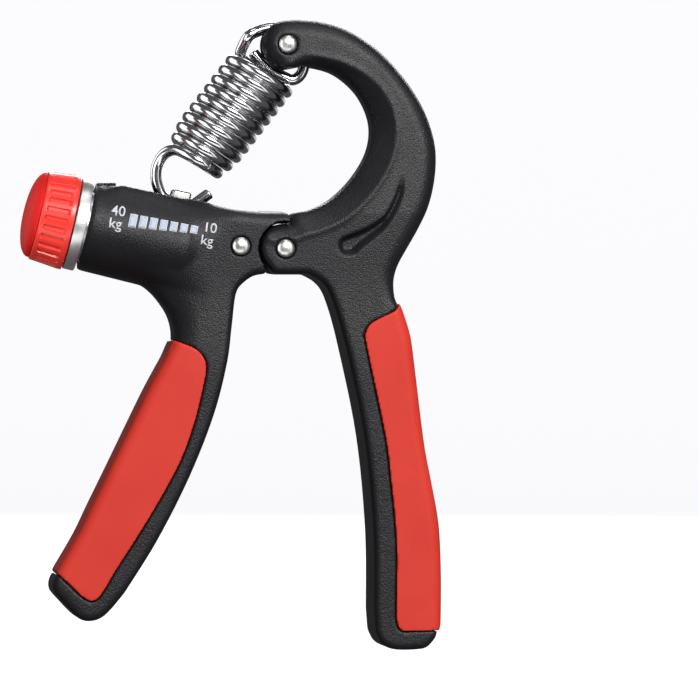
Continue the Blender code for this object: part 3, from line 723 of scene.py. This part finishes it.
def make_finger_grip():
    side = offset(smooth([(-25.4, -14.0), (-25.6, -21.2)] + FINGER_SIDE + [(-54.5, -78.0)]), -0.4)
    make_grip("finger", finger_outline(), side, finger_grip_zone(), finger_core(CORE_INSET - GRIP_GAP))


# Hinge hardware

def make_rivet(node, body, at, half, shank=1.5):
    """A rivet with a domed head at the front and its end set over the washer at the back."""
    head = [(RIVET_RADIUS * cos(t), -half - 0.05 - 0.9 * sin(t)) for t in np.linspace(0, pi / 2, 9)]
    profile = [(0, half + 0.55), (0.5, half + 0.53), (1.0, half + 0.45), (1.5, half + 0.28),
               (1.85, half + 0.02), (1.9, half - 0.15), (shank, half - 0.15), (shank, 0.55 - half),
               (2.03, 0.55 - half), (RIVET_RADIUS, 0.45 - half)] + head[:-1] + [(0, -half - 0.95)]
    piece = to_depth(lathe(node + "_piece", profile, 48), at)
    return finish_piece(piece, RIVET_STEEL, body, [node], sharp=50)


# Knob, end plate and screw

def flute(r, d, a):
    """The knob's flutes: shallow slots between ribs, closed by a plain band at each end."""
    if r < 9.9:
        return r
    turn = (a * FLUTES / (2 * pi)) % 1.0
    slot = float(ramp(np.array(turn), 0.40, 0.50) * (1 - ramp(np.array(turn), 0.90, 1.0)))
    length = float(ramp(np.array(d), -8.35, -8.0) * (1 - ramp(np.array(d), -3.3, -2.95)))
    return r - 0.5 * slot * length


def make_knob():
    """The fluted knob, a shade narrower towards its face, and the domed cap in it."""
    skirt = [(11.02, -1.65), (KNOB_RADIUS, -1.85), (KNOB_RADIUS, -2.6)]
    skirt += [(KNOB_RADIUS - 0.105 * (-2.6 - d), d) for d in np.linspace(-2.8, -8.6, 30)]
    skirt += [(10.44, -9.0), (10.4, -9.25), (10.25, -9.4), (10.0, -9.44), (9.3, -9.44), (9.3, -6.4),
              (2.8, -6.4), (2.8, -3.0), (9.2, -3.0), (9.3, -1.75), (9.5, -1.6), (10.8, -1.6)]
    knob = to_barrel(lathe("knob_body", skirt, FLUTES * 20, flute))
    finish_piece(knob, KNOB_RED, "adjuster", ["adjuster_knob"], sharp=40)

    dome = [(10.0 * cos(t) ** 0.9, -9.75 - 3.2 * sin(t)) for t in np.linspace(0, pi / 2 - 0.04, 16)]
    profile = [(0, -8.8), (8.9, -8.8), (9.0, -9.5), (9.85, -9.5), (10.0, -9.6)] + dome + [(0, -12.95)]
    cap = to_barrel(lathe("knob_dome", profile, 96))
    finish_piece(cap, CAP_RED, "adjuster", ["knob_cap"], sharp=50)


def make_end_plate():
    """The plated ring on the barrel's end, with the spigot that goes into its bore."""
    profile = [(10.45, 1.35), (10.68, 1.25), (10.75, 1.0), (10.75, -1.0), (10.68, -1.25), (10.45, -1.35),
               (2.8, -1.35), (2.8, 3.6), (7.95, 3.6), (7.95, 1.35)]
    plate = to_barrel(lathe("end_ring", profile, 128))
    finish_piece(plate, PLATE_STEEL, "finger_handle", ["end_plate"], sharp=40)


def make_lead_screw():
    """A right-hand thread of 2 mm pitch between a plain journal and a chamfered end."""
    pitch = 2.0

    def thread(r, d, a):
        if r < 2.4:
            return r
        wave = (d / pitch - a / (2 * pi)) % 1.0
        height = 1 - abs(2 * wave - 1)
        live = float(ramp(np.array(d), 5.6, 6.6) * (1 - ramp(np.array(d), 30.0, 30.9)))
        return r - 0.55 * live * (1 - min(1.0, 1.5 * height))

    body = [(2.5, float(d)) for d in np.linspace(30.4, 5.1, 200)]
    profile = [(0, 31.0), (1.9, 31.0)] + body + [(1.9, 5.1), (1.9, 4.1), (2.5, 4.1), (2.5, -5.8),
                                                 (1.4, -5.8), (1.4, -2.2), (0, -2.2)]
    screw = to_barrel(lathe("threaded_rod", profile, 32, thread))
    finish_piece(screw, SCREW_STEEL, "adjuster", ["lead_screw"], sharp=50)


def make_bridge():
    """The steel staple on the nut that the hook goes through."""
    outer = block("bridge_loop", (19.4, -3.0, 6.6), (24.0, 3.0, 13.0), 0.6)
    inner = block("bridge_eye", (15, -1.9, 5.0), (28, 1.9, 12.2), 0.0)
    join(outer, inner)
    change = outer.modifiers.new("Bevel", "BEVEL")
    change.width = 0.18
    change.segments = 2
    change.limit_method = "ANGLE"
    change.angle_limit = radians(50)
    baked(outer)
    finish_piece(outer, BRIDGE_STEEL, "slider", ["hook_bridge"], sharp=40)


# Spring

COIL_LEAN = radians(34.6)
COIL_STACK = radians(37.6)
COIL_TOP = Vector((-5.34, 0.0, 40.1))
COIL_PITCH = 2.747
COIL_DIAMETER = 14.8
FIRST_TURN = 0.66
LAST_TURN = -8.98
EYE_ROUTE = [(-8.1, -0.2, 49.0), (-6.2, 0, 50.4), (-3.2, 0, 51.3), (-0.2, 0, 51.4),
             (2.8, 0, 50.8), (5.1, 0, 48.7), (5.5, 0, 45.4), (5.1, 0, 42.2), (4.1, 0, 40.2),
             (2.4, 0, 39.3), (0.2, 0, 40.1), (-2.4, 0, 41.4), (-4.4, 0, 42.9), (-6.0, 0, 44.7),
             (-6.9, 0, 45.8)]
HOOK_ROUTE = [(-16.8, 0, 13.0), (-18.3, 0, 11.9), (-19.6, 0, 11.0), (-21.2, 0, 10.4), (-23.6, 0, 10.6),
              (-26.3, 0, 11.3), (-27.9, 0, 12.3), (-28.9, 0, 14.3), (-29.4, 0, 16.9), (-29.0, -0.2, 19.6),
              (-27.6, -1.2, 21.9), (-25.3, -3.1, 22.9), (-22.6, -5.0, 21.8)]


def coil_point(phase):
    """A point on the coil's centre line, at a phase in turns, upwards, from the front of the top turn. Each
    turn lies across at COIL_LEAN, and the turns are stacked along COIL_STACK. The last ones get smaller."""
    up = Vector((sin(COIL_STACK), 0.0, cos(COIL_STACK)))
    across = Vector((cos(COIL_LEAN), 0.0, -sin(COIL_LEAN)))
    radius = (COIL_DIAMETER - 0.36 * max(0.0, -phase - 6.0) ** 2) / 2
    angle = 2 * pi * (phase + 0.75)
    around = across * radius * cos(angle)
    return COIL_TOP + up * COIL_PITCH * phase + around + Vector((0, radius * sin(angle), 0))


def sweep(name, path, radius, sides=18):
    """A round wire along a path, its ends cut square with a small chamfer."""
    path = [Vector(p) for p in path]
    tangents = []
    for i in range(len(path)):
        tangents.append((path[min(i + 1, len(path) - 1)] - path[max(i - 1, 0)]).normalized())
    work = bmesh.new()
    side = tangents[0].orthogonal().normalized()
    stations = [(path[0], tangents[0], radius * 0.82)]
    stations += [(path[0] + tangents[0] * radius * 0.18, tangents[0], radius)]
    stations += [(p, t, radius) for p, t in zip(path[1:-1], tangents[1:-1])]
    stations += [(path[-1] - tangents[-1] * radius * 0.18, tangents[-1], radius)]
    stations += [(path[-1], tangents[-1], radius * 0.82)]
    rings = []
    for point, tangent, r in stations:
        side = (side - tangent * side.dot(tangent)).normalized()
        other = tangent.cross(side)
        rings.append([work.verts.new(point + (side * cos(a) + other * sin(a)) * r)
                      for a in (2 * pi * k / sides for k in range(sides))])
    for a, b in zip(rings, rings[1:]):
        for i in range(sides):
            work.faces.new((a[i], a[(i + 1) % sides], b[(i + 1) % sides], b[i]))
    work.faces.new(rings[0][::-1])
    work.faces.new(rings[-1])
    bmesh.ops.recalc_face_normals(work, faces=work.faces)
    return new_object(name, mesh_of_bmesh(name, work))


def even(points, step):
    """The same path with points evenly spaced."""
    pts = [Vector(p) for p in points]
    lengths = [0.0]
    for a, b in zip(pts, pts[1:]):
        lengths.append(lengths[-1] + (b - a).length)
    count = max(2, int(lengths[-1] / step))
    found = []
    k = 0
    for i in range(count + 1):
        target = lengths[-1] * i / count
        while k < len(lengths) - 2 and lengths[k + 1] < target:
            k += 1
        share = (target - lengths[k]) / max(lengths[k + 1] - lengths[k], 1e-9)
        found.append(pts[k].lerp(pts[k + 1], share))
    return found


def make_spring():
    """One bent wire in two pieces that overlap in the lowest turn: the hook, and the coil with the eye."""
    low = [coil_point(LAST_TURN + i / 40) for i in range(6)]
    hook = even(smooth(HOOK_ROUTE + [tuple(p) for p in (low[0], low[3], low[5])], 8), 0.5)
    hook_piece = sweep("hook_wire", hook, WIRE_RADIUS)
    hook_piece.data.transform(PLACE)
    foot = LAST_TURN + 0.05
    coil = [coil_point(foot + (FIRST_TURN - foot) * i / 420) for i in range(421)]
    eye = smooth([tuple(coil_point(p)) for p in (FIRST_TURN - 0.1, FIRST_TURN)] + EYE_ROUTE, 8)[8:]
    coil_piece = sweep("coil_wire", even([tuple(p) for p in coil] + eye[1:], 0.62), WIRE_RADIUS)
    coil_piece.data.transform(PLACE)
    for piece in (hook_piece, coil_piece):
        piece.data.materials.append(WIRE_STEEL)
        piece.data.shade_smooth()
        piece.data.set_sharp_from_angle(angle=radians(50))
        SHINY_PIECES.append(piece)
    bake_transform(hook_piece)
    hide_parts("spring_tail", "spring_hook")
    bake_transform(coil_piece)
    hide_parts("spring_coil_lower", "spring_coil_upper", "spring_eye")


# Printed scale

SCALE_BARS = 7


def on_front(name, mesh, target, lift=0.035):
    """Lays a flat mesh, drawn in the XZ plane, on the target's front and gives it a little thickness."""
    tree = BVHTree.FromObject(target, bpy.context.evaluated_depsgraph_get())
    work = bmesh.new()
    work.from_mesh(mesh)
    bmesh.ops.triangulate(work, faces=work.faces)
    for _ in range(4):
        long = [e for e in work.edges if e.calc_length() > 0.45]
        if not long:
            break
        bmesh.ops.subdivide_edges(work, edges=long, cuts=1)
        bmesh.ops.triangulate(work, faces=work.faces)
    for spot in work.verts:
        start = HINGE + Vector((spot.co.x, -30, spot.co.z)) * MM
        hit = tree.ray_cast(start, Vector((0, 1, 0)))[0]
        spot.co = ((hit if hit else start) - HINGE) / MM - Vector((0, lift, 0))
    bmesh.ops.recalc_face_normals(work, faces=work.faces)
    grown = bmesh.ops.extrude_face_region(work, geom=work.faces[:])["geom"]
    for spot in grown:
        if isinstance(spot, bmesh.types.BMVert):
            spot.co.y += 2 * lift
    bmesh.ops.recalc_face_normals(work, faces=work.faces)
    return new_object(name, mesh_of_bmesh(name, work))


def barrel_point(distance, height):
    x = BARREL_FACE[0] + distance * cos(BARREL_TILT) + height * sin(BARREL_TILT)
    z = BARREL_FACE[1] - distance * sin(BARREL_TILT) + height * cos(BARREL_TILT)
    return x, z


def letters(name, text, at, size, target):
    """Printed text, centred at a place along and above the barrel's axis."""
    data = bpy.data.curves.new(name, "FONT")
    data.body = text
    data.size = size
    data.align_x = "CENTER"
    data.align_y = "CENTER"
    data.fill_mode = "FRONT"
    data.offset = 0.035
    data.resolution_u = 6
    mesh = mesh_of_curve(data)
    x, z = barrel_point(*at)
    turn = Matrix.Rotation(radians(8), 4, "Y") @ Matrix.Rotation(pi / 2, 4, "X")
    mesh.transform(Matrix.Translation((x, 0, z)) @ turn)
    piece = on_front(name, mesh, target)
    return finish_piece(piece, WHITE_INK, "finger_handle", None, 0)


def make_scale(target):
    """The resistance scale: bars that get smaller from 40 to 10 kg, each blue with a white rim."""
    letters("scale_high", "40", (7.9, 4.75), 3.35, target)
    letters("scale_high_unit", "kg", (7.75, 1.75), 3.35, target)
    letters("scale_low", "10", (29.4, 5.75), 3.25, target)
    letters("scale_low_unit", "kg", (29.3, 2.75), 3.25, target)
    for kind, material, shrink, lift in (("rim", WHITE_INK, 0.0, 0.03), ("bar", BLUE_INK, 0.22, 0.05)):
        work = bmesh.new()
        for i in range(SCALE_BARS):
            share = i / (SCALE_BARS - 1)
            s = 11.62 + 14.24 * share
            h = 3.36 + 1.26 * share
            half_w = (1.84 - 0.12 * share) / 2 - shrink
            half_h = (3.2 - 1.3 * share) / 2 - shrink
            slope = 0.085 * half_w
            corners = [(s - half_w, h - half_h - slope), (s + half_w, h - half_h + slope),
                       (s + half_w, h + half_h + slope * 0.6), (s - half_w, h + half_h - slope * 0.6)]
            spots = [work.verts.new((barrel_point(*c)[0], 0, barrel_point(*c)[1])) for c in corners]
            work.faces.new(spots)
        piece = on_front("scale_" + kind, mesh_of_bmesh("scale_" + kind, work), target, lift)
        finish_piece(piece, material, "finger_handle", None, 0)


def dress_carried_nodes():
    """Gives the nodes that are shown as they are their metals."""
    looks = {"hinge_link": ZINC, "hinge_rivet_washer": RIVET_STEEL, "link_rivet_washer": RIVET_STEEL,
             "spring_rivet_washer": RIVET_STEEL, "screw_bush": BRASS, "knob_screw": SCREW_STEEL,
             "thrust_washer": BRASS, "retaining_clip": DARK_STEEL, "slider_nut": ZINC}
    for node, material in looks.items():
        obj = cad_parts[node]
        obj.data.materials.clear()
        obj.data.materials.append(material)
        SHINY_PIECES.append(obj)


# Studio

def area_light(name, place, target, size, power, colour=(1, 1, 1)):
    data = bpy.data.lights.new(name, "AREA")
    data.shape = "RECTANGLE"
    data.size, data.size_y = size
    data.energy = power
    data.color = colour
    lamp = bpy.data.objects.new(name, data)
    bpy.context.scene.collection.objects.link(lamp)
    lamp.location = place
    lamp.rotation_euler = (Vector(target) - Vector(place)).to_track_quat("-Z", "Y").to_euler()
    return lamp


def make_camera():
    right = Vector((cos(CAMERA_AZIMUTH), sin(CAMERA_AZIMUTH), 0))
    back = Vector((sin(CAMERA_AZIMUTH), -cos(CAMERA_AZIMUTH), 0))
    centre = HINGE + (right * 15.7 + Vector((0, 0, -23.4))) * MM
    data = bpy.data.cameras.new("Camera")
    data.sensor_width = SENSOR_WIDTH
    data.lens = SENSOR_WIDTH * CAMERA_DISTANCE / SEEN_WIDTH
    data.clip_start = 0.05
    data.clip_end = 20
    camera = bpy.data.objects.new("Camera", data)
    bpy.context.scene.collection.objects.link(camera)
    camera.location = centre + back * CAMERA_DISTANCE
    camera.rotation_euler = (-back).to_track_quat("-Z", "Y").to_euler()
    bpy.context.scene.camera = camera


def make_floor():
    """A pale round floor that curves up into a wall. It lights itself and nothing else, and it lies lower
    than the object at rest, because the finger handle swings down as it closes."""
    low = cad_box[0][2] - FLOOR_DROP
    flat = 1.6
    rise = 0.6
    profile = [(0.0, low), (flat, low)]
    profile += [(flat + rise * sin(t), low + rise * (1 - cos(t))) for t in np.linspace(0.1, pi / 2, 16)]
    profile += [(2.2, 3.4), (2.25, 3.4), (2.25, low - 0.05), (0.0, low - 0.05)]
    floor = lathe("studio_floor", profile, 96)
    floor.data.shade_smooth()
    paper, _, shader, _ = new_material("paper")
    shader.inputs["Base Color"].default_value = (0.35, 0.35, 0.35, 1)
    shader.inputs["Roughness"].default_value = 1.0
    shader.inputs["Specular IOR Level"].default_value = 0.0
    shader.inputs["Emission Color"].default_value = (0.975, 0.975, 1.0, 1)
    shader.inputs["Emission Strength"].default_value = 0.915
    floor.data.materials.append(paper)
    floor.visible_diffuse = False
    floor.visible_glossy = False
    floor.visible_shadow = False


def make_lights():
    """Three soft lights, cards that only the shiny pieces see, and a dim sky."""
    area_light("key", (0.26, -1.08, 0.60), (-0.03, 0, 0.03), (0.65, 0.4), 14.5)
    area_light("top", (0.1, -0.25, 1.1), (-0.03, 0, 0.05), (0.6, 0.3), 1.5)
    area_light("rear", (0.25, 1.15, 0.6), (-0.03, 0, 0.03), (0.8, 0.5), 9)
    shiny = bpy.data.collections.new("shiny_pieces")
    for obj in SHINY_PIECES:
        shiny.objects.link(obj)
    panels = (("left_card", (-0.95, -0.65, 0.12), (0.6, 1.1), 5.0),
              ("right_card", (0.75, -0.95, 0.05), (0.3, 1.1), 1.5),
              ("left_rear_card", (-0.95, 0.45, 0.25), (0.7, 1.0), 4.0),
              ("low_card", (-0.2, -0.9, -0.55), (1.2, 0.4), 2.6),
              ("rear_card", (0.5, 1.0, 0.3), (0.9, 0.9), 1.6))
    for name, place, extent, power in panels:
        card = area_light(name, place, (-0.03, 0, 0.03), extent, power)
        card.light_linking.receiver_collection = shiny
    world = bpy.data.worlds.new("World")
    bpy.context.scene.world = world
    world.use_nodes = True
    sky = world.node_tree.nodes["Background"]
    sky.inputs["Color"].default_value = (0.96, 0.97, 1.0, 1)
    sky.inputs["Strength"].default_value = 0.10
    bpy.context.scene.view_settings.view_transform = "Standard"


make_palm_frame()
make_palm_grip()
finger_frame = make_finger_frame()
make_finger_grip()
make_rivet("hinge_rivet", "palm_handle", (0, 0), HINGE_HALF_DEPTH)
make_rivet("link_rivet", "finger_handle", LINK_RIVET, HINGE_HALF_DEPTH)
make_rivet("spring_rivet", "palm_handle", SPRING_PIN, spring_half_depth(), 1.05)
make_knob()
make_end_plate()
make_lead_screw()
make_bridge()
make_spring()
make_scale(finger_frame)
dress_carried_nodes()
make_camera()
make_floor()
make_lights()
